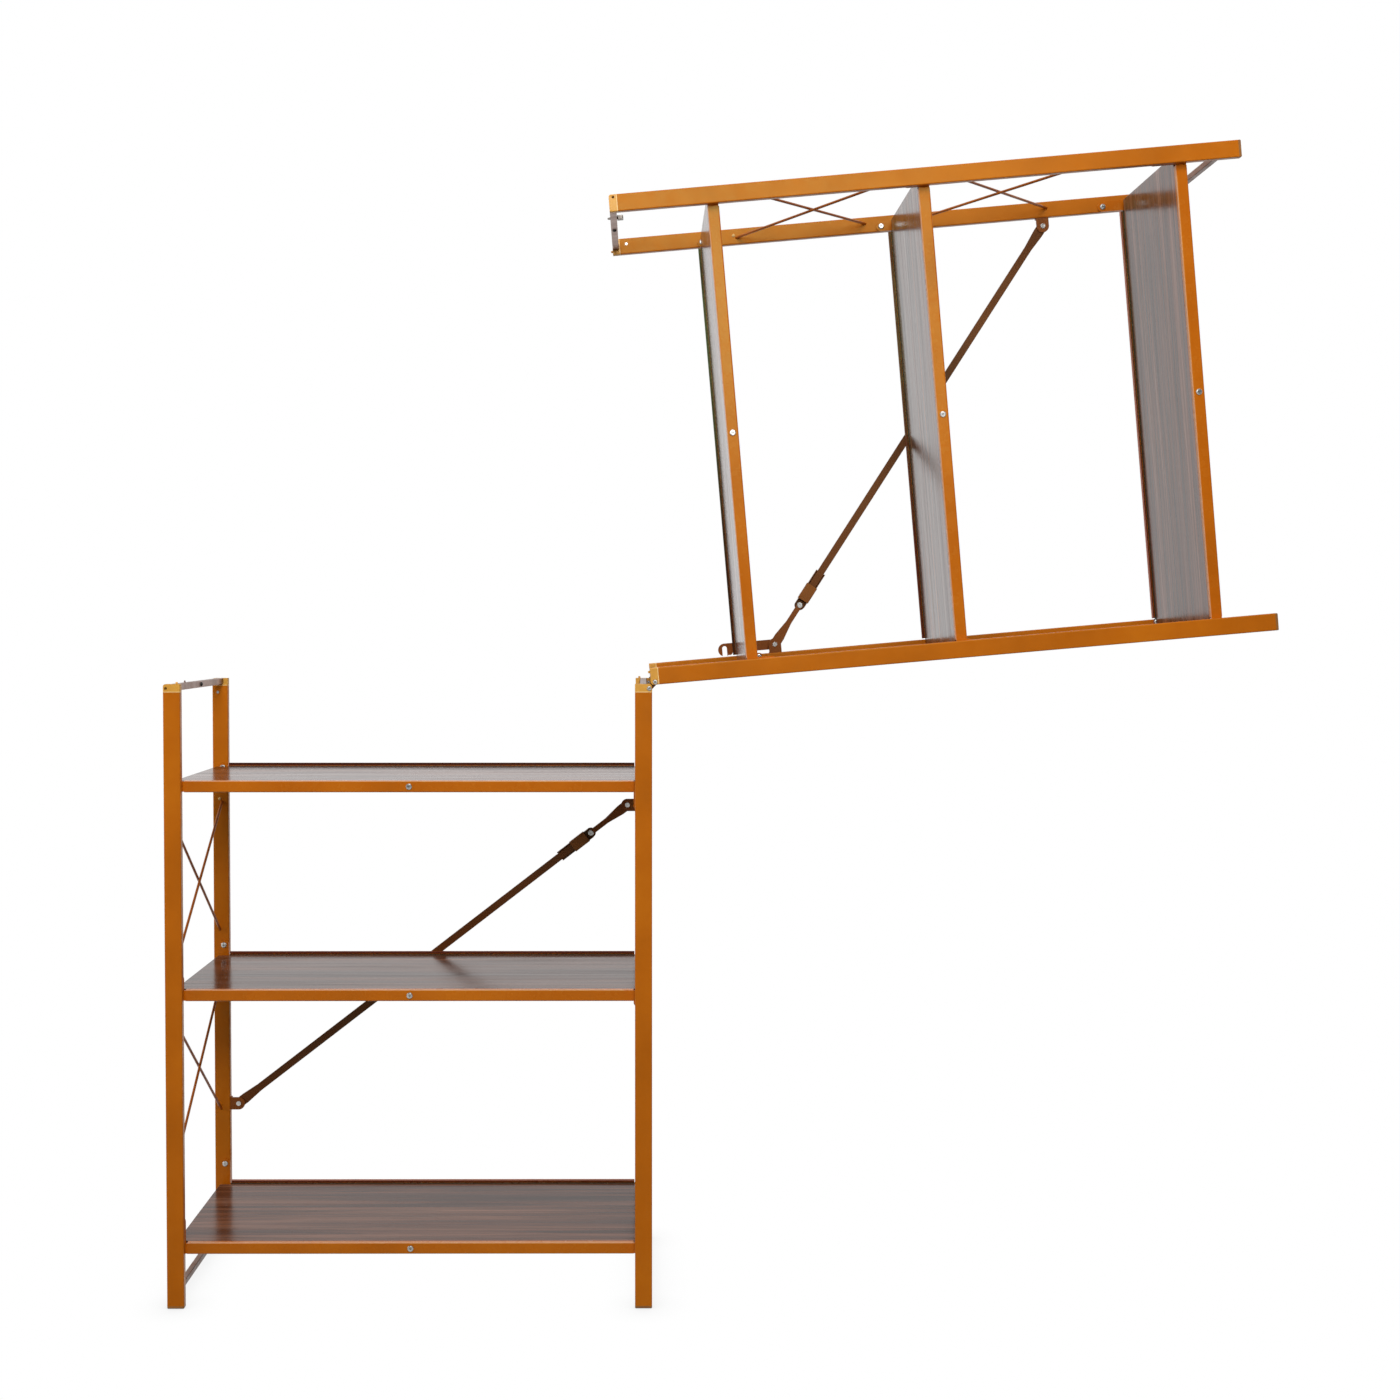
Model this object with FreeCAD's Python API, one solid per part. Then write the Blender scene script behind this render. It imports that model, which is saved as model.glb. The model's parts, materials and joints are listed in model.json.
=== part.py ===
import FreeCAD, Part
import math
import os

# Folding bookcase of two hinged steel sections with wood-grain shelves.
# Millimetres, Z up, front toward -Y. The origin is the centre of the lower section's footprint on the floor.
# Each section is drawn standing on its feet with its hinge end up. The upper one is then mirrored on top of
# the lower one and swung open about the two-pin hinge at the right posts, as in the photo.

# Section
section_width = 710.0
section_depth = 318.0
section_height = 915.0
swing_angle = 85.0
stack_gap = 0.4
cut_margin = 1.0
same_point = 1e-6

# Posts and their end plugs
post_width = 25.0
post_depth = 12.0
post_corner = 1.8
lower_post_wall = 1.5
upper_post_wall = 1.0
cap_height = 12.0
foot_height = 4.0
foot_edge = 1.4
plug_length = 18.0
plug_clearance = 0.2
peg_inset = 6.0
peg_radius = 2.0
peg_height = 3.0
peg_tip_share = 0.7
socket_clearance = 0.8

# Section hinge
hinge_pin_inset = 4.2
hinge_pin_drop = 6.2
hinge_pin_radius = 2.0
hinge_head_radius = 3.3
hinge_head_height = 1.8
link_thickness = 3.0
link_radius = 4.0
blind_wall = 2.0
slot_clearance = 0.4
running_clearance = 0.05

# Bars and rods of a side frame
end_bar_size = 10.0
foot_rail_size = 9.0
foot_rail_rise = 10.0
foot_rail_inset = 1.5
bar_wall = 1.2
wall_strap_hole_radius = 2.5
rod_radius = 2.0
rod_spacing = 4.2
rod_overrun_share = 0.02
upper_cross_below_top_shelf = 58.5
upper_cross_above_middle_shelf = 40.0
lower_cross_front_below_middle_shelf = 44.0
lower_cross_rear_below_middle_shelf = 27.0
lower_cross_front_above_bottom_shelf = 128.5
lower_cross_rear_above_bottom_shelf = 121.0

# Shelf levels, from the hinge plane or from the floor, and how far each left pivot lies above its shelf
top_shelf_drop = 141.5
middle_shelf_drop = 448.0
bottom_shelf_rise = 93.5
top_pivot_rise = -3.0
middle_pivot_rise = 15.0
bottom_pivot_rise = 31.0
right_pivot_fall = 34.0
left_pivot_inset = 8.0
right_pivot_inset = 4.0

# Shelf rim and board
rim_height = 17.0
rim_depth = 10.0
rim_wall = 1.2
rim_corner = 2.0
rim_end_gap = 2.0
rear_lip_height = 4.5
rear_lip_thickness = 1.6
ear_thickness = 2.0
ear_gap = 0.4
ear_lap = 14.0
left_ear_radius = 8.0
right_ear_radius = 6.0
ledge_width = 12.0
ledge_thickness = 1.5
strap_width = 24.0
strap_offset = 230.0
board_overhang = 15.0
board_recess = 0.5
board_fit = 0.2
board_edge = 0.5
lower_board_thickness = 15.0
upper_board_thickness = 7.0

# Screws and rivets
crown_share = 0.6
recess_reach_share = 0.45
recess_slit_share = 0.1
recess_depth_share = 0.5
pivot_shank_radius = 2.0
pivot_head_radius = 4.5
pivot_head_height = 2.4
pivot_head_gap = 0.15
pivot_thread_length = 4.0
rim_screw_head_radius = 4.5
rim_screw_head_height = 2.0
rim_screw_shank_radius = 1.8
cap_rivet_drop = 22.6
cap_rivet_inset = 9.2
cap_rivet_head_radius = 2.2
cap_rivet_head_height = 0.8
cap_rivet_shank_radius = 1.2

# Diagonal brace
left_stud_above_bottom_shelf = 128.5
right_stud_below_top_shelf = 64.5
stud_inset = 13.5
stud_radius = 2.5
stud_head_radius = 3.8
stud_head_height = 1.0
bracket_setback = 1.2
bracket_thickness = 2.0
bracket_height = 20.0
bracket_flange = 8.0
brace_gap = 0.3
strut_end_thickness = 2.5
strut_thickness = 5.0
strut_flare = 16.0
strut_flat_length = 14.0
strut_taper_end = 42.0
long_strut_width = 11.5
short_strut_width = 8.5
knee_distance = 75.0
knee_shank_radius = 2.2
knee_head_radius = 4.6
knee_head_height = 1.6
knee_nut_radius = 3.5
knee_nut_height = 1.4
sleeve_inner_width = 14.0
sleeve_wall = 1.2
sleeve_end = 138.0
sleeve_lip = 1.5
strut_end_distance = 90.0
collar_start = 84.0
collar_length = 28.0
collar_wall = 1.0
collar_gap = 0.25

# Storage hook and latch
hook_thickness = 2.0
hook_width = 16.0
hook_gap = 0.25
hook_throat_clearance = 1.3
hook_eye_radius = 10.5
hook_lobe_width = 9.0
hook_lobe_setback = 1.5
latch_depth = 100.0
latch_radius = 2.0
latch_clearance = 0.06
latch_nub = 4.0
latch_tip_share = 0.6
latch_collar_radius = 3.2
latch_collar_height = 1.2
latch_knob_width = 10.0
latch_knob_thickness = 6.0
latch_knob_height = 9.0
latch_knob_gap = 0.5
strike_clearance = 0.6
bar_pin_depth = 79.0
bar_pin_radius = 1.5
bar_pin_height = 3.0

# Values that follow from those above
half_width = section_width / 2
half_depth = section_depth / 2
top_shelf_z = section_height - top_shelf_drop
middle_shelf_z = section_height - middle_shelf_drop
bottom_shelf_z = bottom_shelf_rise
post_inner = half_width - post_width
post_centre = half_width - post_width / 2
post_face = half_depth - post_depth
post_middle = half_depth - post_depth / 2
rim_face = post_face - ear_gap
rim_back = rim_face - rim_depth
rim_end = post_inner - rim_end_gap
hinge_x = half_width - hinge_pin_inset
lower_hinge_z = section_height - hinge_pin_drop
upper_hinge_z = section_height + stack_gap + hinge_pin_drop
stud_x = post_inner - stud_inset
bracket_front = post_face + bracket_setback
strut_front = bracket_front + bracket_thickness + brace_gap
strut_back = strut_front + strut_thickness
sleeve_front = strut_front - sleeve_lip
sleeve_back = strut_back + brace_gap + sleeve_wall
sleeve_half = sleeve_inner_width / 2 + sleeve_wall
hook_front = half_depth + bracket_setback / 2
stud_tail = hook_front + hook_thickness + hook_gap
hook_length = 2 * (hinge_x - stud_x) + 2 * hinge_pin_drop + stack_gap
latch_y = latch_depth - half_depth
bar_pin_y = bar_pin_depth - half_depth
upper_cross_top = top_shelf_z - upper_cross_below_top_shelf
upper_cross_foot = middle_shelf_z + upper_cross_above_middle_shelf

SHELVES = {
    "top": (top_shelf_z, top_pivot_rise),
    "mid": (middle_shelf_z, middle_pivot_rise),
    "bottom": (bottom_shelf_z, bottom_pivot_rise),
}
# Rod end heights of each X pair, as front and rear of one rod, then front and rear of the other
CROSSES = (
    (upper_cross_top, upper_cross_foot, upper_cross_foot, upper_cross_top),
    (
        middle_shelf_z - lower_cross_front_below_middle_shelf,
        bottom_shelf_z + lower_cross_rear_above_bottom_shelf,
        bottom_shelf_z + lower_cross_front_above_bottom_shelf,
        middle_shelf_z - lower_cross_rear_below_middle_shelf,
    ),
)
SIDES = {"left": -1, "right": 1}
X_AXIS = FreeCAD.Vector(1, 0, 0)
Y_AXIS = FreeCAD.Vector(0, 1, 0)
Z_AXIS = FreeCAD.Vector(0, 0, 1)


def box(x0, x1, y0, y1, z0, z1):
    """Box between two corners given in any order."""
    low = FreeCAD.Vector(min(x0, x1), min(y0, y1), min(z0, z1))
    return Part.makeBox(abs(x1 - x0), abs(y1 - y0), abs(z1 - z0), low)


def rod_y(x, z, radius, y0, y1):
    """Cylinder along Y."""
    return Part.makeCylinder(radius, abs(y1 - y0), FreeCAD.Vector(x, min(y0, y1), z), Y_AXIS)


def rod_z(x, y, radius, z0, z1):
    """Cylinder along Z."""
    return Part.makeCylinder(radius, z1 - z0, FreeCAD.Vector(x, y, z0), Z_AXIS)


def round_edges(shape, axis, radius):
    """Rounds the straight edges that run along an axis."""
    along = []
    for edge in shape.Edges:
        run = edge.Vertexes[1].Point - edge.Vertexes[0].Point
        if run.cross(axis).Length < same_point:
            along.append(edge)
    return shape.makeFillet(radius, along)


def tube_z(x, y, width, depth, z0, z1, corner, wall):
    """Upright rectangular tube."""
    outer = box(x - width / 2, x + width / 2, y - depth / 2, y + depth / 2, z0, z1)
    half_x = width / 2 - wall
    half_y = depth / 2 - wall
    inner = box(x - half_x, x + half_x, y - half_y, y + half_y, z0, z1)
    return round_edges(outer, Z_AXIS, corner).cut(inner)


def tube_y(x0, x1, z0, z1, y0, y1, wall):
    """Square tube along Y with small rounded corners."""
    outer = round_edges(box(x0, x1, y0, y1, z0, z1), Y_AXIS, wall)
    return outer.cut(box(x0 + wall, x1 - wall, y0, y1, z0 + wall, z1 - wall))


def screw(x, y, z, way, head_radius, head_height, shank_radius, shank_length):
    """Pan-head screw along Y with a cross recess. Its head's seat is at y, its shank runs in the given way."""
    head = Part.makeCylinder(head_radius, head_height, FreeCAD.Vector(0, -head_height, 0), Y_AXIS)
    crown = [e for e in head.Edges if abs(e.CenterOfMass.y + head_height) < same_point]
    head = head.makeFillet(head_height * crown_share, crown)
    arm = head_radius * recess_reach_share
    slit = head_radius * recess_slit_share
    deep = head_height * recess_depth_share
    head = head.cut(box(-arm, arm, -head_height, deep - head_height, -slit, slit))
    head = head.cut(box(-slit, slit, -head_height, deep - head_height, -arm, arm))
    shape = head.fuse(rod_y(0, 0, shank_radius, 0, shank_length)).removeSplitter()
    if way < 0:
        shape.rotate(FreeCAD.Vector(0, 0, 0), Z_AXIS, 180)
    shape.translate(FreeCAD.Vector(x, y, z))
    return shape


def pivots(side):
    """Pivot points of one side's three shelves."""
    points = []
    for level, rise in SHELVES.values():
        z = level + rise
        if side < 0:
            points.append((-post_inner - left_pivot_inset, z))
        else:
            points.append((post_inner + right_pivot_inset, z - right_pivot_fall))
    return points


def stud_point(side):
    """Brace stud of one side."""
    if side < 0:
        return -stud_x, bottom_shelf_z + left_stud_above_bottom_shelf
    return stud_x, top_shelf_z - right_stud_below_top_shelf


def post(side, end, wall):
    """Post at the front (end -1) or rear (end 1), drilled for the shelf pivots and the cap rivet."""
    top = section_height - cap_height
    shape = tube_z(
        side * post_centre, end * post_middle, post_width, post_depth, foot_height, top, post_corner, wall
    )
    near = end * (post_face - cut_margin)
    far = end * (post_face + wall + cut_margin)
    for x, z in pivots(side):
        shape = shape.cut(rod_y(x, z, pivot_shank_radius + running_clearance, near, far))
    rivet_x = side * (half_width - cap_rivet_inset)
    rivet_z = section_height - cap_rivet_drop
    return shape.cut(rod_y(rivet_x, rivet_z, cap_rivet_shank_radius + running_clearance, near, far))


def spigot(side, end, wall, z0):
    """Part of a plug that sits inside its post."""
    half_x = post_width / 2 - wall - plug_clearance
    half_y = post_depth / 2 - wall - plug_clearance
    x = side * post_centre
    y = end * post_middle
    return box(x - half_x, x + half_x, y - half_y, y + half_y, z0, z0 + plug_length)


def foot(side, end, wall):
    """Foot plug with a rounded underside."""
    x0 = side * half_width
    x1 = side * post_inner
    block = box(x0, x1, end * half_depth, end * post_face, 0, foot_height)
    block = round_edges(block, Z_AXIS, post_corner)
    sole = [e for e in block.Edges if e.BoundBox.ZMax < same_point]
    return block.makeFillet(foot_edge, sole).fuse(spigot(side, end, wall, foot_height))


def cap(side, end, wall, peg):
    """Hinge-end cap with its outer corner rounded about the pin, link slot, pin hole and peg or socket.

    The pin hole goes right through at the hinge side and is blind in the left caps, which hold no pin.
    """
    low = section_height - cap_height
    inner = side * post_inner
    outer = side * half_width
    bend = hinge_pin_inset
    turn = outer - side * bend
    centre = FreeCAD.Vector(turn, 0, section_height - bend)
    middle = FreeCAD.Vector(side * bend * math.sqrt(0.5), 0, bend * math.sqrt(0.5))
    corner = [
        FreeCAD.Vector(inner, 0, section_height),
        FreeCAD.Vector(inner, 0, low),
        FreeCAD.Vector(outer, 0, low),
        FreeCAD.Vector(outer, 0, section_height - bend),
        FreeCAD.Vector(turn, 0, section_height),
    ]
    edges = [Part.makeLine(corner[i], corner[i + 1]) for i in range(3)]
    edges.append(Part.Arc(corner[3], centre + middle, corner[4]).toShape())
    edges.append(Part.makeLine(corner[4], corner[0]))
    face = Part.Face(Part.Wire(edges))
    profile = face.extrude(FreeCAD.Vector(0, post_depth, 0))
    profile.translate(FreeCAD.Vector(0, min(end * half_depth, end * post_face), 0))
    block = box(inner, outer, end * half_depth, end * post_face, low, section_height)
    block = round_edges(block, Z_AXIS, post_corner).common(profile)
    pin_x = side * hinge_x
    slot_half = link_thickness / 2 + slot_clearance / 2
    slot_x = pin_x - side * (link_radius + slot_clearance)
    slot_z = lower_hinge_z - link_radius - slot_clearance
    y = end * post_middle
    slot_end = outer + side * cut_margin
    slot_top = section_height + cut_margin
    block = block.cut(box(slot_x, slot_end, y - slot_half, y + slot_half, slot_z, slot_top))
    bore = hinge_pin_radius + running_clearance
    bore_start = end * (half_depth + cut_margin)
    bore_end = end * (post_face - cut_margin if side > 0 else post_face + blind_wall)
    block = block.cut(rod_y(pin_x, lower_hinge_z, bore, bore_start, bore_end))
    peg_x = side * (post_inner + peg_inset)
    if peg:
        base = FreeCAD.Vector(peg_x, y, section_height)
        block = block.fuse(Part.makeCone(peg_radius, peg_radius * peg_tip_share, peg_height, base, Z_AXIS))
    else:
        depth = peg_height + socket_clearance
        block = block.cut(rod_z(peg_x, y, peg_radius + socket_clearance, section_height - depth, section_height))
    return block.fuse(spigot(side, end, wall, low - plug_length))


def end_plugs(side, wall, upper):
    """Two caps and two feet. Pegs and sockets are set so that the stacked sections meet peg to socket."""
    shapes = []
    for end in (-1, 1):
        peg = (side * end > 0) != upper
        shapes.append(cap(side, end, wall, peg))
        shapes.append(foot(side, end, wall))
    return Part.makeCompound(shapes)


def cross_bars(side, upper):
    """End bar between the caps and foot rail between the posts."""
    half = end_bar_size / 2
    x0 = side * post_centre - half
    low = section_height - end_bar_size
    above = section_height + cut_margin
    bar = tube_y(x0, x0 + end_bar_size, low, section_height, -post_face, post_face, bar_wall)
    if side < 0:
        strap = Part.makeCylinder(
            wall_strap_hole_radius, end_bar_size, FreeCAD.Vector(-post_centre, 0, low + half), X_AXIS
        )
        bar = bar.cut(strap)
        x = -post_centre
        if upper:
            bar = bar.cut(rod_z(x, latch_y, latch_radius + latch_clearance, low - cut_margin, above))
            bar = bar.cut(rod_z(x, bar_pin_y, bar_pin_radius + strike_clearance, low + half, above))
        else:
            bar = bar.cut(rod_z(x, latch_y, latch_radius + strike_clearance, low + half, above))
            base = FreeCAD.Vector(x, bar_pin_y, section_height - bar_wall)
            tip = bar_pin_radius * peg_tip_share
            bar = bar.fuse(Part.makeCone(bar_pin_radius, tip, bar_pin_height + bar_wall, base, Z_AXIS))
    rail_outer = side * (half_width - foot_rail_inset)
    rail_inner = rail_outer - side * foot_rail_size
    rail = tube_y(
        min(rail_outer, rail_inner), max(rail_outer, rail_inner), foot_rail_rise, foot_rail_rise + foot_rail_size,
        -post_face, post_face, bar_wall,
    )
    return Part.makeCompound([bar, rail])


def cross_rods(side):
    """Two X pairs of rods between the posts, trimmed at the post faces."""
    shapes = []
    slab = box(-section_width, section_width, -post_face, post_face, 0, section_height)
    for first_front, first_rear, second_front, second_rear in CROSSES:
        for step, front_z, rear_z in ((-1, first_front, first_rear), (1, second_front, second_rear)):
            x = side * post_centre + step * rod_spacing / 2
            a = FreeCAD.Vector(x, -post_face, front_z)
            run = FreeCAD.Vector(x, post_face, rear_z) - a
            extra = run * rod_overrun_share
            length = run.Length + 2 * extra.Length
            shapes.append(Part.makeCylinder(rod_radius, length, a - extra, run).common(slab))
    return Part.makeCompound(shapes)


def pivot_screws(side, wall):
    """Shelf pivot screws, cap rivets and the brace stud of one side frame."""
    shapes = []
    seat = rim_face - ear_thickness - pivot_head_gap
    length = post_face - seat + wall + pivot_thread_length
    for end in (-1, 1):
        for x, z in pivots(side):
            shapes.append(
                screw(x, end * seat, z, end, pivot_head_radius, pivot_head_height, pivot_shank_radius, length)
            )
        x = side * (half_width - cap_rivet_inset)
        z = section_height - cap_rivet_drop
        top = end * (post_face - cap_rivet_head_height)
        head = rod_y(x, z, cap_rivet_head_radius, top, end * post_face)
        shapes.append(head.fuse(rod_y(x, z, cap_rivet_shank_radius, top, end * (post_face + wall))))
    x, z = stud_point(side)
    stud = rod_y(x, z, stud_head_radius, bracket_front - stud_head_height, bracket_front)
    collar = strut_front + strut_end_thickness + brace_gap
    if side > 0:
        tail = stud_tail + stud_head_height
        stud = stud.fuse(rod_y(x, z, stud_head_radius, collar, hook_front - hook_gap))
        stud = stud.fuse(rod_y(x, z, stud_head_radius, stud_tail, tail))
    else:
        tail = collar + stud_head_height
        stud = stud.fuse(rod_y(x, z, stud_head_radius, collar, tail))
    shapes.append(stud.fuse(rod_y(x, z, stud_radius, bracket_front - stud_head_height, tail)).removeSplitter())
    return Part.makeCompound(shapes)


def brace_bracket(side):
    """Angle bracket on the rear post's inner face with a round-ended tongue for the brace stud."""
    x, z = stud_point(side)
    half = bracket_height / 2
    root = side * post_inner
    back = bracket_front + bracket_thickness
    tongue = box(x, root, bracket_front, back, z - half, z + half)
    tongue = tongue.fuse(rod_y(x, z, half, bracket_front, back))
    flange = box(root, root - side * bracket_thickness, bracket_front, back + bracket_flange, z - half, z + half)
    hole = rod_y(x, z, stud_radius + running_clearance, bracket_front - cut_margin, back + cut_margin)
    return tongue.fuse(flange).removeSplitter().cut(hole)


def ear(pivot_x, pivot_z, top, radius, end):
    """Flat ear that carries one end of a rim on its pivot screw."""
    side = 1 if pivot_x > 0 else -1
    y0 = end * rim_face
    y1 = end * (rim_face - ear_thickness)
    low = top - rim_height + rim_corner / 2
    high = top - rim_corner / 2
    plate = rod_y(pivot_x, pivot_z, radius, y0, y1)
    plate = plate.fuse(box(pivot_x - radius, pivot_x + radius, y0, y1, min(pivot_z, low), max(pivot_z, high)))
    plate = plate.fuse(box(pivot_x, side * (rim_end - ear_lap), y0, y1, low, high))
    beyond = end * cut_margin
    hole = rod_y(pivot_x, pivot_z, pivot_shank_radius + running_clearance, y0 + beyond, y1 - beyond)
    return plate.removeSplitter(), hole


def shelf_rim(level, board_thickness):
    """Rim frame of one shelf: front tube, rear tube with raised lip, ledges, straps and four ears."""
    top = SHELVES[level][0]
    index = list(SHELVES).index(level)
    seat = top - board_recess - board_thickness
    shape = None
    for end in (-1, 1):
        bar = box(-rim_end, rim_end, end * rim_back, end * rim_face, top - rim_height, top)
        bar = round_edges(bar, X_AXIS, rim_corner)
        bar = bar.cut(
            box(-rim_end, rim_end, end * (rim_back + rim_wall), end * (rim_face - rim_wall),
                top - rim_height + rim_wall, top - rim_wall)
        )
        shape = bar if shape is None else shape.fuse(bar)
        ledge = box(
            -rim_end, rim_end, end * (rim_back + rim_wall / 2), end * (rim_back - ledge_width),
            seat - ledge_thickness, seat,
        )
        shape = shape.fuse(ledge)
    lip = box(-rim_end, rim_end, rim_face - rear_lip_thickness, rim_face, top - rim_corner, top + rear_lip_height)
    shape = shape.fuse(lip)
    for step in (-1, 1):
        x = step * strap_offset
        strap = box(
            x - strap_width / 2, x + strap_width / 2, -rim_back - rim_wall / 2, rim_back + rim_wall / 2,
            seat - ledge_thickness, seat,
        )
        shape = shape.fuse(strap)
    holes = []
    for side in (-1, 1):
        radius = left_ear_radius if side < 0 else right_ear_radius
        x, z = pivots(side)[index]
        for end in (-1, 1):
            plate, hole = ear(x, z, top, radius, end)
            shape = shape.fuse(plate)
            holes.append(hole)
    middle = top - rim_height / 2
    before = -rim_face - cut_margin
    behind = cut_margin - rim_back
    holes.append(rod_y(0, middle, rim_screw_shank_radius + running_clearance, before, behind))
    shape = shape.removeSplitter()
    for hole in holes:
        shape = shape.cut(hole)
    return shape


def shelf_board(level, thickness):
    """Board that rests on the rim's ledges, with its bare ends standing past the rim."""
    high = SHELVES[level][0] - board_recess
    x = post_inner + board_overhang
    y = rim_back - board_fit
    board = box(-x, x, -y, y, high - thickness, high)
    return board.makeFillet(board_edge, board.Edges)


def rim_screw(level):
    """Bright screw at the middle of the front rim."""
    z = SHELVES[level][0] - rim_height / 2
    return screw(
        0, -rim_face, z, 1, rim_screw_head_radius, rim_screw_head_height, rim_screw_shank_radius,
        rim_depth - board_fit,
    )


def brace_length():
    """Distance between the two brace studs."""
    return math.hypot(2 * stud_x, stud_point(1)[1] - stud_point(-1)[1])


def lay_brace(shape):
    """Turns a piece drawn from the right stud along +X onto the brace line, which falls to the left stud."""
    x, z = stud_point(1)
    left_x, left_z = stud_point(-1)
    angle = math.degrees(math.atan2(left_z - z, left_x - x))
    shape.rotate(FreeCAD.Vector(0, 0, 0), Y_AXIS, -angle)
    shape.translate(FreeCAD.Vector(x, 0, z))
    return shape


def strut_end(s, way, width):
    """Flattened and flared end of a strut about the stud at s, running in the given way."""
    y0 = strut_front
    y1 = strut_front + strut_end_thickness
    half = strut_flare / 2
    flat = s + way * strut_flat_length
    shape = rod_y(s, 0, half, y0, y1)
    shape = shape.fuse(box(s, flat, y0, y1, -half, half))
    outlines = []
    for at, reach, back in ((flat, half, y1), (s + way * strut_taper_end, width / 2, strut_back)):
        points = [
            FreeCAD.Vector(at, y0, -reach),
            FreeCAD.Vector(at, back, -reach),
            FreeCAD.Vector(at, back, reach),
            FreeCAD.Vector(at, y0, reach),
        ]
        outlines.append(Part.makePolygon(points + points[:1]))
    return shape.fuse(Part.makeLoft(outlines, True, True))


def strut(s, way, width, length):
    """Brace strut from the stud at s, with a rounded bar beyond its flared end."""
    start = s + way * strut_taper_end
    bar = box(start, s + way * length, strut_front, strut_back, -width / 2, width / 2)
    hole = rod_y(s, 0, stud_radius + running_clearance, strut_front - cut_margin, strut_back + cut_margin)
    return strut_end(s, way, width).fuse(bar).removeSplitter().cut(hole)


def long_strut():
    """Strut from the left stud, whose free end lies inside the lock sleeve."""
    return lay_brace(strut(brace_length(), -1, long_strut_width, brace_length() - strut_end_distance))


def short_strut():
    """Strut from the right stud to the knee screw."""
    shape = strut(0, 1, short_strut_width, knee_distance)
    shape = shape.fuse(rod_y(knee_distance, 0, short_strut_width / 2, strut_front, strut_back)).removeSplitter()
    bore = knee_shank_radius + running_clearance
    hole = rod_y(knee_distance, 0, bore, strut_front - cut_margin, strut_back + cut_margin)
    return lay_brace(shape.cut(hole))


def lock_sleeve():
    """Open channel that takes the long strut's end, with the knee screw that ties it to the short strut."""
    base_front = sleeve_back - sleeve_wall
    base = rod_y(knee_distance, 0, sleeve_half, base_front, sleeve_back)
    base = base.fuse(box(knee_distance, sleeve_end, base_front, sleeve_back, -sleeve_half, sleeve_half))
    for way in (-1, 1):
        inner = way * sleeve_inner_width / 2
        base = base.fuse(box(knee_distance, sleeve_end, sleeve_front, sleeve_back, inner, way * sleeve_half))
    base = base.removeSplitter()
    bore = knee_shank_radius + running_clearance
    base = base.cut(rod_y(knee_distance, 0, bore, base_front - cut_margin, sleeve_back + cut_margin))
    seat = strut_front - running_clearance
    tail = sleeve_back + running_clearance
    knee = screw(
        knee_distance, seat, 0, 1, knee_head_radius, knee_head_height, knee_shank_radius, tail + knee_nut_height - seat
    )
    knee = knee.fuse(rod_y(knee_distance, 0, knee_nut_radius, tail, tail + knee_nut_height)).removeSplitter()
    return lay_brace(Part.makeCompound([base, knee]))


def lock_slide():
    """Collar around the sleeve that slides along it to lock or free the brace."""
    s0 = collar_start
    s1 = collar_start + collar_length
    gap = collar_gap
    inner = box(s0, s1, sleeve_front - gap, sleeve_back + gap, -sleeve_half - gap, sleeve_half + gap)
    gap = collar_gap + collar_wall
    outer = box(s0, s1, sleeve_front - gap, sleeve_back + gap, -sleeve_half - gap, sleeve_half + gap)
    return lay_brace(round_edges(outer, X_AXIS, collar_wall).cut(inner))


def storage_hook():
    """Hook on the right brace stud, behind the posts, with a round head whose throat opens toward the post."""
    x, z = stud_point(1)
    y0 = hook_front
    y1 = hook_front + hook_thickness
    half = hook_width / 2
    throat = z + hook_length
    mouth = stud_radius + hook_throat_clearance
    reach = x - half + 2 * hook_eye_radius
    lobe = hook_lobe_width / 2
    lobe_x = reach - hook_lobe_setback - lobe
    lobe_z = throat - mouth - lobe
    lever = rod_y(x, z, half, y0, y1)
    lever = lever.fuse(box(x - half, x + half, y0, y1, z, throat))
    lever = lever.fuse(rod_y(x - half + hook_eye_radius, throat, hook_eye_radius, y0, y1))
    lever = lever.fuse(rod_y(lobe_x, lobe_z, lobe, y0, y1))
    lever = lever.fuse(box(x, lobe_x, y0, y1, lobe_z - lobe, lobe_z + lobe)).removeSplitter()
    front = y0 - cut_margin
    back = y1 + cut_margin
    lever = lever.cut(rod_y(x, throat, mouth, front, back))
    lever = lever.cut(box(x, reach + cut_margin, front, back, throat - mouth, throat + mouth))
    return lever.cut(rod_y(x, z, stud_radius + running_clearance, front, back))


def latch_plunger():
    """Sprung latch pin with a retaining collar inside the end bar and a finger tab below it."""
    x = -post_centre
    low = section_height - end_bar_size
    tab_top = low - latch_knob_gap
    pin = rod_z(x, latch_y, latch_radius, tab_top, section_height)
    base = FreeCAD.Vector(x, latch_y, section_height)
    pin = pin.fuse(Part.makeCone(latch_radius, latch_radius * latch_tip_share, latch_nub, base, Z_AXIS))
    stop = section_height - bar_wall - latch_clearance
    pin = pin.fuse(rod_z(x, latch_y, latch_collar_radius, stop - latch_collar_height, stop))
    half_x = latch_knob_thickness / 2
    half_y = latch_knob_width / 2
    tab = box(x - half_x, x + half_x, latch_y - half_y, latch_y + half_y, tab_top - latch_knob_height, tab_top)
    return pin.fuse(round_edges(tab, X_AXIS, half_x / 2)).removeSplitter()


def hinge_pins():
    """Front and rear hinge pins of one section, with heads on the outer faces of the caps."""
    shapes = []
    for end in (-1, 1):
        y = end * half_depth
        shapes.append(
            screw(hinge_x, y, lower_hinge_z, -end, hinge_head_radius, hinge_head_height, hinge_pin_radius, post_depth)
        )
    return Part.makeCompound(shapes)


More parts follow.
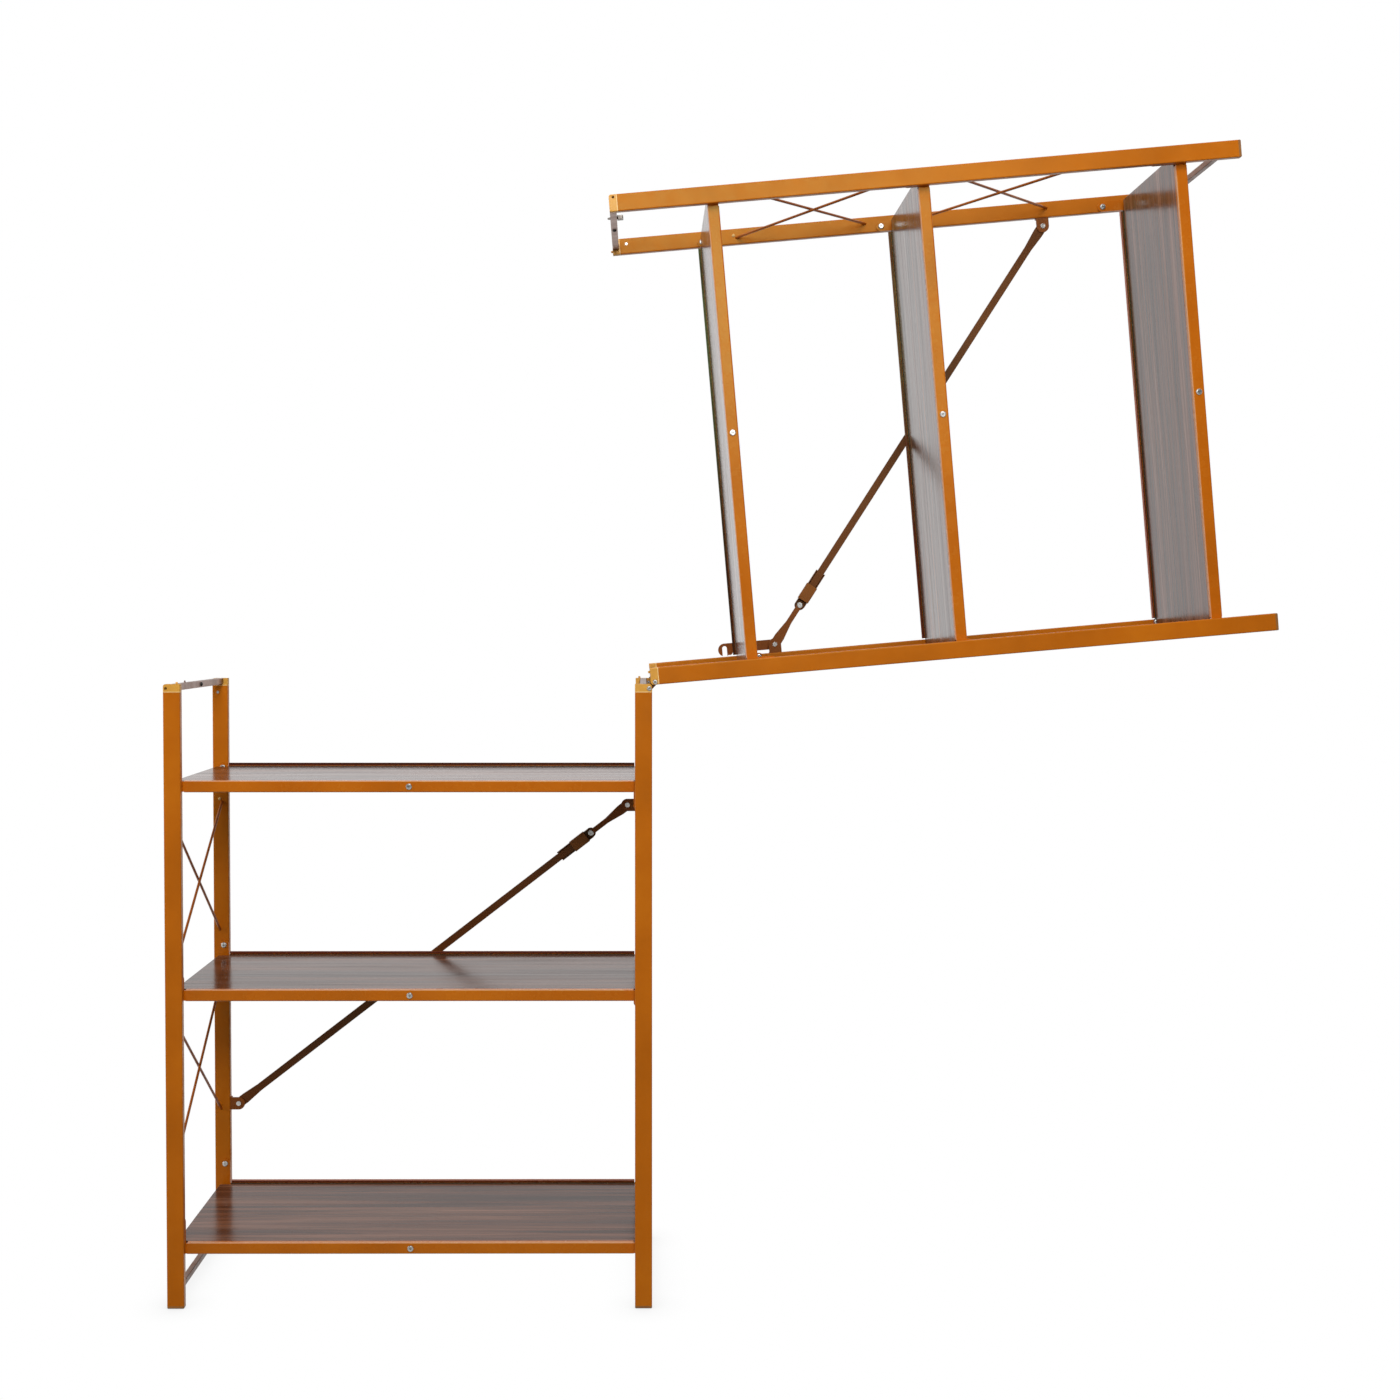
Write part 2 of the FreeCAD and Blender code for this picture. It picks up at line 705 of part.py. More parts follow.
def hinge_links():
    """Two link plates between the lower and upper hinge pins, drawn stacked."""
    shapes = []
    for end in (-1, 1):
        y0 = end * post_middle - link_thickness / 2
        y1 = end * post_middle + link_thickness / 2
        plate = box(hinge_x - link_radius, hinge_x + link_radius, y0, y1, lower_hinge_z, upper_hinge_z)
        for z in (lower_hinge_z, upper_hinge_z):
            plate = plate.fuse(rod_y(hinge_x, z, link_radius, y0, y1))
        plate = plate.removeSplitter()
        bore = hinge_pin_radius + running_clearance
        for z in (lower_hinge_z, upper_hinge_z):
            plate = plate.cut(rod_y(hinge_x, z, bore, y0 - cut_margin, y1 + cut_margin))
        shapes.append(plate)
    return Part.makeCompound(shapes)


def swing(shape, both):
    """Turns a stacked piece about the lower hinge pin by half the swing, then about the upper pin by the rest."""
    lower = FreeCAD.Vector(hinge_x, 0, lower_hinge_z)
    half = swing_angle / 2
    shape.rotate(lower, Y_AXIS, half)
    if both:
        reach = upper_hinge_z - lower_hinge_z
        turn = math.radians(half)
        upper = lower + FreeCAD.Vector(reach * math.sin(turn), 0, reach * math.cos(turn))
        shape.rotate(upper, Y_AXIS, half)
    return shape


def place(shape, upper):
    """Puts a piece of a section where its section stands."""
    if not upper:
        return shape
    stacked = shape.mirror(FreeCAD.Vector(0, 0, section_height + stack_gap / 2), Z_AXIS)
    return swing(stacked, True)


def save(name, shape):
    """Writes one node."""
    shape.exportStep("parts/" + name + ".step")


def save_section(section):
    """Writes every node of the lower or the upper section."""
    upper = section == "upper"
    wall = upper_post_wall if upper else lower_post_wall
    thickness = upper_board_thickness if upper else lower_board_thickness
    for side_name, side in SIDES.items():
        frame = section + "_" + side_name
        save(frame + "_front_post", place(post(side, -1, wall), upper))
        save(frame + "_rear_post", place(post(side, 1, wall), upper))
        save(frame + "_end_plugs", place(end_plugs(side, wall, upper), upper))
        save(frame + "_cross_bars", place(cross_bars(side, upper), upper))
        save(frame + "_cross_rods", place(cross_rods(side), upper))
        save(frame + "_pivot_screws", place(pivot_screws(side, wall), upper))
        save(frame + "_brace_bracket", place(brace_bracket(side), upper))
    for level in SHELVES:
        shelf = section + "_" + level + "_shelf"
        save(shelf + "_rim", place(shelf_rim(level, thickness), upper))
        save(shelf + "_board", place(shelf_board(level, thickness), upper))
        save(shelf + "_screw", place(rim_screw(level), upper))
    save(section + "_long_strut", place(long_strut(), upper))
    save(section + "_short_strut", place(short_strut(), upper))
    save(section + "_lock_sleeve", place(lock_sleeve(), upper))
    save(section + "_lock_slide", place(lock_slide(), upper))
    save(section + "_hinge_pins", place(hinge_pins(), upper))


def main():
    os.makedirs("parts", exist_ok=True)
    save_section("lower")
    save_section("upper")
    save("hinge_links", swing(hinge_links(), False))
    save("storage_hook", place(storage_hook(), True))
    save("latch_plunger", place(latch_plunger(), True))


main()
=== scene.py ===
import json
import math

import bmesh
import bpy
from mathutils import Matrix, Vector


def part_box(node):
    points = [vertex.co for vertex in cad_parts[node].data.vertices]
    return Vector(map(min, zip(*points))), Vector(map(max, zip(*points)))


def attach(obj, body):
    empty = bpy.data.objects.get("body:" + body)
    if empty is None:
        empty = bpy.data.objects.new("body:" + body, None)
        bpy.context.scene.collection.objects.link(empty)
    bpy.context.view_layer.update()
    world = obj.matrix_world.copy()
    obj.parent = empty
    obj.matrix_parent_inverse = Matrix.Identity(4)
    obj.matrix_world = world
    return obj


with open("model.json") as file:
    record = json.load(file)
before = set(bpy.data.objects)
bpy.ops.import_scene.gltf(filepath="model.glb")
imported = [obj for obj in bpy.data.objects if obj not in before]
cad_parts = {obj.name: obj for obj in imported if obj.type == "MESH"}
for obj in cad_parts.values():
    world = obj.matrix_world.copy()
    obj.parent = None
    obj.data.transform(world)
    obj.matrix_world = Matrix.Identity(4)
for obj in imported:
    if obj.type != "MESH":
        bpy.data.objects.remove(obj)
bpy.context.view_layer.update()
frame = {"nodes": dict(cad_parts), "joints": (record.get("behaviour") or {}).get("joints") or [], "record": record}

scene = bpy.context.scene
scene.view_settings.view_transform = "Standard"
JOINTS = {joint["name"]: joint for joint in frame["joints"]}


def joint_place(name):
    """Where a hinge joint lies in the frame, as x and z."""
    x, _, z = JOINTS[name]["pos_m"]
    return x, z


def lower_limit(name):
    """A hinge joint's lower limit, in radians."""
    return math.radians(JOINTS[name]["range_deg"][0])


# Lower section: its left rear post and right bars, and the level that parts its feet from its caps
POST_LOW, POST_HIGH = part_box("lower_left_rear_post")
BAR_LOW, BAR_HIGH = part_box("lower_right_cross_bars")
FOOT_TOP = 0.006
# Height of the pale band painted as a highlight along the caps' lower edge
CAP_HIGHLIGHT_HEIGHT = 0.0012

# Section hinge: its two pins, and the swing that both joints undo at their lower limits
LOWER_PIN = joint_place("link_pivot")
UPPER_PIN = joint_place("section_swing")
SWING = -(lower_limit("link_pivot") + lower_limit("section_swing"))

# Shelf rims: fronts and backs from the middle of the depth, heights from the shelf's top
SHELF_LEVELS = ("top", "mid", "bottom")
BOARD_DROP = 0.0005
RIM_MARGIN = 0.0015
RIM_FRONT = -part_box("lower_top_shelf_rim")[0].y
# Depth and height of the pale highlight painted along a rim's front top edge
EDGE_HIGHLIGHT_DEPTH, EDGE_HIGHLIGHT_HEIGHT = 0.0030, 0.0011
# Band of painted shade on a rim's top before the rear lip: its front, its back, and its reach below the shelf's
# top
STRIP_FRONT, STRIP_BACK, STRIP_DROP = 0.1360, 0.1450, 0.0021
# Rear lip, coloured with painted shade and painted light: its front, its back, and the heights of its foot and
# middle above the shelf's top
LIP_FRONT, LIP_BACK = 0.1440, 0.1453
LIP_FOOT, LIP_MIDDLE = 0.0003, 0.0022

# Lower brace: its two studs, the knee screw's distance from the first, and the screw's radius
FIRST_STUD = joint_place("lower_short_strut_pivot")
SECOND_STUD = joint_place("lower_long_strut_pivot")
KNEE_REACH = 0.075
KNEE_RADIUS = 0.0047

# Fasteners added to the frames, with profiles of radius and height pairs
RIVET_X, RIVET_Z = 0.3440, 0.7195
RIVET_PROFILE = (
    (0, -0.0006), (0.0026, -0.0006), (0.0026, 0.0003), (0.0021, 0.0011), (0.0012, 0.0015), (0, 0.0016),
)
BAR_SCREW_DROP = 0.005
BAR_SCREW_PROFILE = (
    (0, -0.003), (0.0023, -0.003), (0.0023, 0.0001), (0.0032, 0.0001), (0.0032, 0.0012),
    (0.0025, 0.0021), (0.0014, 0.0024), (0.0012, 0.0015), (0, 0.0014),
)
TURNED_STEPS = 20
SHARP_ANGLE = math.radians(50.0)

# Directions
BACKWARD = (0.0, 1.0, 0.0)
FORWARD = (0.0, -1.0, 0.0)
UP_LOWER = (0.0, 0.0, 1.0)
UP_UPPER = (-math.sin(SWING), 0.0, -math.cos(SWING))

# Screen colours, as tones from dark to light
AMBER = ((184, 95, 7), (196, 103, 10), (207, 114, 15))
RIM_AMBER = ((184, 93, 8), (196, 101, 11), (207, 112, 17))
ROD_AMBER = ((158, 80, 16), (170, 88, 19), (182, 98, 25))
BRONZE = ((84, 42, 15), (98, 50, 18), (112, 60, 24))
SLIDE_BRONZE = ((124, 70, 26), (138, 79, 30), (152, 90, 36))
COPPER = ((118, 60, 22), (132, 70, 27), (148, 82, 34))
RAIL_BROWN = ((120, 68, 32), (134, 78, 38), (146, 88, 45))
CREAM = ((206, 158, 92), (222, 178, 112), (236, 198, 136))
BRIGHT_ZINC = ((150, 149, 145), (212, 211, 206))
DULL_ZINC = ((112, 106, 100), (148, 141, 134))
BAR_ZINC = ((114, 91, 83), (136, 113, 104))
BLACK_STEEL = ((34, 32, 31), (58, 55, 53))
CAP_TAN = ((212, 148, 42), (228, 167, 60))
FOOT_TAN = ((138, 86, 26), (156, 100, 34))
LOWER_WALNUT = ((56, 30, 20), (87, 51, 36), (109, 67, 48), (134, 90, 68))
# Upper boards' walnut, painted lighter than the lower boards' to stand in for light they lack
UPPER_WALNUT_LIT = ((86, 50, 38), (124, 80, 62), (152, 103, 81), (178, 129, 105))

# Single screen colours
# Pale amber painted as a highlight along a rim's front top edge
EDGE_HIGHLIGHT_AMBER = (216, 152, 112)
# Dark brown painted as shade on a rim's top before the rear lip
STRIP_SHADE_BROWN = (62, 33, 22)
# Rear lip in painted shade, and per shelf its upper part in painted shade on the top shelf and painted light on
# the bottom one
LIP_SHADE_RED = (86, 31, 22)
LIP_TOP_LIGHT_SHADE = {"top": (72, 30, 20), "mid": (118, 54, 40), "bottom": (186, 122, 106)}
# Pale tan painted as a highlight along the caps' lower edge
CAP_HIGHLIGHT_TAN = (244, 203, 132)
# Dark tones painted as shade into the plastic's holes and the metal's recesses
HOLE_SHADE_BROWN = (52, 28, 12)
RECESS_SHADE_GREY = (38, 37, 35)
KNEE_ZINC = (176, 176, 172)
STREAK_BROWN = (48, 28, 21)
FINE_BROWN = (40, 23, 17)
PORE_BROWN = (26, 15, 11)

# Curve of screen colours
FULL_BYTE = 255.0
CURVE_BREAK, CURVE_SLOPE = 0.04045, 12.92
CURVE_OFFSET, CURVE_POWER = 0.055, 2.4

# Tints of the enamels' reflections, and strengths of their rubbed specks
GOLD_SHEEN = (0.42, 1.0, 0.38, 1.0)
WARM_SHEEN = (1.0, 0.8, 0.45, 1.0)
ZINC_SHEEN = (1.0, 0.95, 0.92, 1.0)
NO_SPECK, FULL_SPECK = (0, 0, 0, 1), (0.1, 0.1, 0.1, 1)

# Roughness from the smoothest to the roughest spots
GLOSSY = (0.22, 0.31)
SATIN = (0.3, 0.42)
MATT = (0.34, 0.46)
BRIGHT_METAL = (0.2, 0.36)
BLACK_METAL = (0.3, 0.45)
DULL_METAL = (0.34, 0.5)
MOULDED = (0.38, 0.52)
LACQUER = (0.12, 0.27)

# Where along a noise its colours sit
NOISE_LOW, NOISE_HIGH = 0.3, 0.7
CLOUD_STOPS = (0.3, 0.5, 0.72)
SPECK_STOPS = (0.72, 0.82)
FIGURE_STOPS = (0.36, 0.47, 0.55, 0.66)

# Ambient occlusion for painted shade: its samples, and how open the darkest and the unshaded spots of a recess are
AO_SAMPLES = 8
RECESS_LOW, RECESS_HIGH = 0.35, 0.85

# Refractive index of the boards' lacquer in each section
LOWER_INDEX, UPPER_INDEX = 1.23, 1.42

# Surroundings: strengths and colours of the world, and the floor
ROOM, ROOM_START, ROOM_END = 0.12, -0.85, 0.05
SKY_LOW, SKY_HIGH = 0.04, 0.32
WHITE = (1, 1, 1, 1)
SKY_TINT = (1.0, 0.99, 0.97, 1)
FLOOR_REACH, FLOOR_DROP = 12.0, 0.0005
FLOOR_GREY = (0.2, 0.2, 0.2, 1)
CONTACT_REACH, CONTACT_TONE = 0.06, 0.72

# Camera: photo size, focal length and principal point in pixels, sensor in millimetres, place in metres
PHOTO_SIZE = 1400.0
FOCAL_LENGTH = 1825.0
PRINCIPAL_X, PRINCIPAL_Y = 646.9, 674.5
SENSOR_WIDTH = 36.0
CAMERA_PLACE = (0.3399, -2.8059, 1.0003)
CAMERA_PITCH = math.radians(90.0 - 1.543)
CAMERA_TURN = math.radians(-0.162)
CLIP_NEAR, CLIP_FAR = 0.05, 60.0

# Sockets of the colour mix node
MIX_FACTOR, MIX_FIRST, MIX_SECOND, MIX_RESULT = 0, 6, 7, 2


def linear(red, green, blue):
    """Linear RGBA of an 8-bit screen colour."""
    out = []
    for level in (red, green, blue):
        level = level / FULL_BYTE
        if level <= CURVE_BREAK:
            out.append(level / CURVE_SLOPE)
        else:
            out.append(((level + CURVE_OFFSET) / (1.0 + CURVE_OFFSET)) ** CURVE_POWER)
    return (*out, 1.0)


class Nodes:
    """A node tree with short ways to add and join nodes."""

    def __init__(self, tree):
        self.tree = tree

    def add(self, kind):
        return self.tree.nodes.new(kind)

    def join(self, out, socket):
        self.tree.links.new(out, socket)

    def feed(self, value, socket):
        """Joins an output to a socket, or sets a plain value on it."""
        if isinstance(value, bpy.types.NodeSocket):
            self.join(value, socket)
        else:
            socket.default_value = value

    def maths(self, operation, first, second):
        node = self.add("ShaderNodeMath")
        node.operation = operation
        self.feed(first, node.inputs[0])
        self.feed(second, node.inputs[1])
        return node.outputs["Value"]

    def vectors(self, operation, first, second, result="Value"):
        node = self.add("ShaderNodeVectorMath")
        node.operation = operation
        self.feed(first, node.inputs[0])
        self.feed(second, node.inputs[1])
        return node.outputs[result]

    def spread(self, value, low, high, start=NOISE_LOW, end=NOISE_HIGH, smooth=False):
        """A value between start and end taken to the range from low to high."""
        node = self.add("ShaderNodeMapRange")
        if smooth:
            node.interpolation_type = "SMOOTHSTEP"
        node.inputs["From Min"].default_value = start
        node.inputs["From Max"].default_value = end
        node.inputs["To Min"].default_value = low
        node.inputs["To Max"].default_value = high
        self.join(value, node.inputs["Value"])
        return node.outputs["Result"]

    def occlusion(self, reach):
        """How open a surface is to its surroundings, within a reach."""
        node = self.add("ShaderNodeAmbientOcclusion")
        node.samples = AO_SAMPLES
        node.inputs["Distance"].default_value = reach
        return node.outputs["AO"]

    def mix_shaders(self, factor, first, second):
        node = self.add("ShaderNodeMixShader")
        self.join(factor, node.inputs[0])
        self.join(first, node.inputs[1])
        self.join(second, node.inputs[2])
        return node.outputs[0]

    def ray_switch(self, seen, lit):
        """Mixes what camera, glossy and transmission rays see with the shader that lights the object."""
        path = self.add("ShaderNodeLightPath")
        total = path.outputs["Is Camera Ray"]
        for other in ("Is Glossy Ray", "Is Transmission Ray"):
            total = self.maths("MAXIMUM", total, path.outputs[other])
        return self.mix_shaders(total, lit, seen)


class Shader(Nodes):
    """A material around one Principled shader, with masks and colours placed by object coordinates."""

    def __init__(self, name):
        self.material = bpy.data.materials.new(name)
        self.material.use_nodes = True
        super().__init__(self.material.node_tree)
        self.bsdf = self.tree.nodes["Principled BSDF"]
        self.coords = self.add("ShaderNodeTexCoord").outputs["Object"]

    def mapped(self, scale, turn=(0, 0, 0), source=None):
        """Object coordinates, or another source of points, scaled and turned."""
        node = self.add("ShaderNodeMapping")
        node.inputs["Scale"].default_value = scale
        node.inputs["Rotation"].default_value = turn
        self.join(self.coords if source is None else source, node.inputs["Vector"])
        return node.outputs["Vector"]

    def noise(self, points, scale, detail, roughness=0.55, distortion=0.0):
        node = self.add("ShaderNodeTexNoise")
        node.inputs["Scale"].default_value = scale
        node.inputs["Detail"].default_value = detail
        node.inputs["Roughness"].default_value = roughness
        node.inputs["Distortion"].default_value = distortion
        self.join(points, node.inputs["Vector"])
        return node.outputs["Fac"]

    def ramp(self, factor, stops, colours):
        node = self.add("ShaderNodeValToRGB")
        elements = node.color_ramp.elements
        while len(elements) < len(stops):
            elements.new(0.5)
        for element, stop, colour in zip(elements, stops, colours):
            element.position = stop
            element.color = colour
        self.join(factor, node.inputs["Fac"])
        return node.outputs["Color"]

    def tones(self, factor, stops, screen_colours):
        """Ramp of screen colours along a noise."""
        return self.ramp(factor, stops, [linear(*colour) for colour in screen_colours])

    def mix(self, factor, first, second):
        node = self.add("ShaderNodeMix")
        node.data_type = "RGBA"
        self.feed(factor, node.inputs[MIX_FACTOR])
        self.feed(first, node.inputs[MIX_FIRST])
        self.feed(second, node.inputs[MIX_SECOND])
        return node.outputs[MIX_RESULT]

    def beyond(self, axis, level):
        """One where a point lies past a level along an axis, else zero."""
        return self.maths("GREATER_THAN", self.vectors("DOT_PRODUCT", self.coords, axis), level)

    def all_of(self, *masks):
        """One where every mask is one, else zero."""
        total = masks[0]
        for mask in masks[1:]:
            total = self.maths("MULTIPLY", total, mask)
        return total

    def between(self, axis, low, high):
        """One where a point lies between two levels along an axis, else zero."""
        back = tuple(-part for part in axis)
        return self.all_of(self.beyond(axis, low), self.beyond(back, -high))

    def near(self, centre, radius):
        """One inside a round column along Y about a centre, else zero."""
        flat = self.mapped(scale=(1.0, 0.0, 1.0))
        return self.maths("LESS_THAN", self.vectors("DISTANCE", flat, centre), radius)

    def shade_recesses(self, reach, depth, out, shade):
        """A colour with painted shade in its recesses, to a given reach, darkened towards a screen colour."""
        closed = self.spread(self.occlusion(reach), depth, 0.0, RECESS_LOW, RECESS_HIGH)
        return self.mix(closed, out, linear(*shade))

    def bump(self, height, strength, distance):
        node = self.add("ShaderNodeBump")
        node.inputs["Strength"].default_value = strength
        node.inputs["Distance"].default_value = distance
        self.join(height, node.inputs["Height"])
        self.join(node.outputs["Normal"], self.bsdf.inputs["Normal"])

    def colour(self, out):
        self.join(out, self.bsdf.inputs["Base Color"])

    def rough(self, out):
        self.join(out, self.bsdf.inputs["Roughness"])

    def metallic(self, mask):
        self.join(mask, self.bsdf.inputs["Metallic"])

    def fixed(self, values):
        """Sets the shader's values that are the same all over, and gives the finished material."""
        for key, value in values.items():
            self.bsdf.inputs[key].default_value = value
        return self.material


def paint(name, tones, rough=SATIN, tint=GOLD_SHEEN):
    """Lustrous stoved enamel: soft cloudiness, fine orange peel and faint specks of wear."""
    look = Shader(name)
    cloud = look.tones(look.noise(look.coords, scale=7.0, detail=4.0), CLOUD_STOPS, tones)
    grains = look.noise(look.coords, scale=420.0, detail=2.0)
    specks = look.ramp(grains, SPECK_STOPS, (NO_SPECK, FULL_SPECK))
    look.base = look.mix(specks, cloud, linear(*tones[-1]))
    look.colour(look.base)
    look.rough(look.spread(look.noise(look.coords, scale=60.0, detail=3.0), *rough))
    look.bump(look.noise(look.coords, scale=950.0, detail=1.0), strength=0.06, distance=0.0002)
    look.fixed({"Metallic": 0.0, "Specular IOR Level": 0.3, "Specular Tint": tint})
    return look


def rim(name, up, level, cross, left_end, lip_light_shade):
    """Rim enamel with a pale painted highlight along its front top edge, a dark band of painted shade before the
    rear lip, and a red brown lip in painted shade, its upper part in painted light on the bottom shelf and painted
    shade on the top one.
    """
    look = paint(name, RIM_AMBER, GLOSSY)
    inboard = look.beyond(cross, left_end)
    # Painted shade: a dark band over the rim's top before the rear lip, where the board meets the lip
    strip_depth = look.between(BACKWARD, STRIP_FRONT, STRIP_BACK)
    strip_shade = look.all_of(strip_depth, look.beyond(up, level - STRIP_DROP), inboard)
    # Painted shade on the rear lip, and on its upper part painted light and shade that differ by shelf
    lip_depth = look.between(BACKWARD, LIP_FRONT, LIP_BACK)
    lip = look.all_of(lip_depth, look.beyond(up, level + LIP_FOOT), inboard)
    lip_top_light_shade = look.all_of(lip, look.beyond(up, level + LIP_MIDDLE))
    # Painted highlight: a pale band along the front top edge, where the rounded edge catches light
    front_edge = look.beyond(FORWARD, RIM_FRONT - EDGE_HIGHLIGHT_DEPTH)
    edge_highlight = look.all_of(front_edge, look.beyond(up, level - EDGE_HIGHLIGHT_HEIGHT), inboard)
    colour = look.mix(strip_shade, look.base, linear(*STRIP_SHADE_BROWN))
    colour = look.mix(lip, colour, linear(*LIP_SHADE_RED))
    colour = look.mix(lip_top_light_shade, colour, linear(*lip_light_shade))
    look.colour(look.mix(edge_highlight, colour, linear(*EDGE_HIGHLIGHT_AMBER)))
    return look.material


def sleeve(name, knee):
    """Bronze enamel of a lock sleeve, with its knee screw left as zinc."""
    look = paint(name, BRONZE, MATT, WARM_SHEEN)
    bright = look.near(knee, KNEE_RADIUS)
    look.colour(look.mix(bright, look.base, linear(*KNEE_ZINC)))
    look.metallic(bright)
    return look.material


def cross_bars(name, up, level):
    """Bars of a side frame: brown enamel on the foot rail, and dull zinc on the end bar above the level."""
    look = paint(name, RAIL_BROWN, SATIN, ZINC_SHEEN)
    bare = look.beyond(up, level)
    plate = look.tones(look.noise(look.coords, scale=70.0, detail=4.0), (NOISE_LOW, NOISE_HIGH), BAR_ZINC)
    look.colour(look.mix(bare, look.base, plate))
    look.metallic(bare)
    return look.material


def plastic(name, up, foot_level, cap_highlight):
    """Moulded plastic with a fine matt grain, tan with a pale band painted as a highlight along the caps' lower
    edge, darker at the feet, and painted shade in its holes and hollows.
    """
    look = Shader(name)
    cloud = look.noise(look.coords, scale=30.0, detail=4.0)
    caps = look.tones(cloud, (NOISE_LOW, NOISE_HIGH), CAP_TAN)
    feet = look.tones(cloud, (NOISE_LOW, NOISE_HIGH), FOOT_TAN)
    # Painted highlight: a pale band along the caps' lower edge
    caps = look.mix(look.between(up, cap_highlight, cap_highlight + CAP_HIGHLIGHT_HEIGHT), caps, linear(*CAP_HIGHLIGHT_TAN))
    whole = look.mix(look.beyond(up, foot_level), feet, caps)
    look.colour(look.shade_recesses(reach=0.0035, depth=0.92, out=whole, shade=HOLE_SHADE_BROWN))
    look.rough(look.spread(look.noise(look.coords, scale=200.0, detail=2.0), *MOULDED))
    look.bump(look.noise(look.coords, scale=1400.0, detail=2.0), strength=0.15, distance=0.0002)
    return look.fixed({"Metallic": 0.0})


def metal(name, tones, rough):
    """Plated metal with fine turning marks, faint clouding and painted shade in its recesses."""
    look = Shader(name)
    plate = look.tones(look.noise(look.coords, scale=90.0, detail=4.0), (NOISE_LOW, NOISE_HIGH), tones)
    look.colour(look.shade_recesses(reach=0.0016, depth=0.9, out=plate, shade=RECESS_SHADE_GREY))
    look.rough(look.spread(look.noise(look.coords, scale=300.0, detail=3.0), *rough))
    marks = look.noise(look.mapped(scale=(1.0, 12.0, 1.0)), scale=900.0, detail=2.0)
    look.bump(marks, strength=0.1, distance=0.0001)
    return look.fixed({"Metallic": 1.0})


def walnut(name, turn, index, tones):
    """Dark wood grain along the board with pores and growth figure under a satin lacquer."""
    look = Shader(name)
    seed = look.add("ShaderNodeObjectInfo").outputs["Random"]
    offset = look.add("ShaderNodeCombineXYZ")
    look.join(look.spread(seed, low=0.0, high=9.0, start=0.0, end=1.0), offset.inputs["X"])
    look.join(look.spread(seed, low=0.0, high=4.0, start=0.0, end=1.0), offset.inputs["Y"])
    straight = look.mapped(scale=(1, 1, 1), turn=turn)
    grain = look.vectors("ADD", straight, offset.outputs["Vector"], result="Vector")

    def layer(along, across, detail, roughness, distortion=0.0):
        """Noise drawn out along the grain."""
        stretched = look.mapped(scale=(along, across, across), source=grain)
        return look.noise(stretched, 1.0, detail, roughness, distortion)

    figure = layer(along=0.9, across=20.0, detail=5.0, roughness=0.6, distortion=0.9)
    streak = layer(along=2.4, across=84.0, detail=5.0, roughness=0.65, distortion=0.5)
    fine = layer(along=4.0, across=210.0, detail=3.0, roughness=0.6, distortion=0.2)
    pores = layer(along=14.0, across=900.0, detail=2.0, roughness=0.5)
    streak_mask = look.spread(streak, low=0.0, high=0.6, start=0.46, end=0.68)
    fine_mask = look.spread(fine, low=0.0, high=0.55, start=0.48, end=0.68)
    pore_mask = look.spread(pores, low=0.0, high=0.45, start=0.56, end=0.74)
    colour = look.tones(figure, FIGURE_STOPS, tones)
    colour = look.mix(streak_mask, colour, linear(*STREAK_BROWN))
    colour = look.mix(fine_mask, colour, linear(*FINE_BROWN))
    look.colour(look.mix(pore_mask, colour, linear(*PORE_BROWN)))
    look.rough(look.spread(streak, *LACQUER))
    look.bump(streak, strength=0.4, distance=0.0003)
    return look.fixed({"Metallic": 0.0, "IOR": index})


def standing(x, z, y=0.0):
    """A point of the standing lower section."""
    return Vector((x, y, z))


def swung(x, z, y=0.0):
    """Where a point of a standing section lies on the swung upper section."""
    dx = x - LOWER_PIN[0]
    dz = LOWER_PIN[1] - z
    return Vector((
        UPPER_PIN[0] + dx * math.cos(SWING) + dz * math.sin(SWING),
        y,
        UPPER_PIN[1] - dx * math.sin(SWING) + dz * math.cos(SWING),
    ))


def along_axis(axis, point):
    return sum(a * b for a, b in zip(axis, point))


def knee_place():
    """The knee screw of a standing section's brace, as x and z."""
    run_x = SECOND_STUD[0] - FIRST_STUD[0]
    run_z = SECOND_STUD[1] - FIRST_STUD[1]
    length = math.hypot(run_x, run_z)
    return FIRST_STUD[0] + run_x * KNEE_REACH / length, FIRST_STUD[1] + run_z * KNEE_REACH / length


def turned(name, profile, places, body, material):
    """Group of turned heads: a closed profile of radius and height pairs spun about each place's axis."""
    shape = bmesh.new()
    for centre, axis in places:
        first = axis.orthogonal().normalized()
        second = axis.cross(first)
        rings = []
        for radius, height in profile:
            middle = centre + axis * height
            count = TURNED_STEPS if radius else 1
            ring = []
            for i in range(count):
                angle = 2 * math.pi * i / count
                outward = math.cos(angle) * first + math.sin(angle) * second
                ring.append(shape.verts.new(middle + radius * outward))
            rings.append(ring)
        for low, high in zip(rings, rings[1:]):
            for i in range(TURNED_STEPS):
                j = (i + 1) % TURNED_STEPS
                corners = [low[i % len(low)], low[j % len(low)], high[j % len(high)], high[i % len(high)]]
                shape.faces.new(list(dict.fromkeys(corners)))
    bmesh.ops.recalc_face_normals(shape, faces=shape.faces)
    mesh = bpy.data.meshes.new(name)
    shape.to_mesh(mesh)
    shape.free()
    mesh.shade_smooth()
    mesh.set_sharp_from_angle(angle=SHARP_ANGLE)
    mesh.materials.append(material)
    piece = bpy.data.objects.new(name, mesh)
    scene.collection.objects.link(piece)
    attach(piece, body)


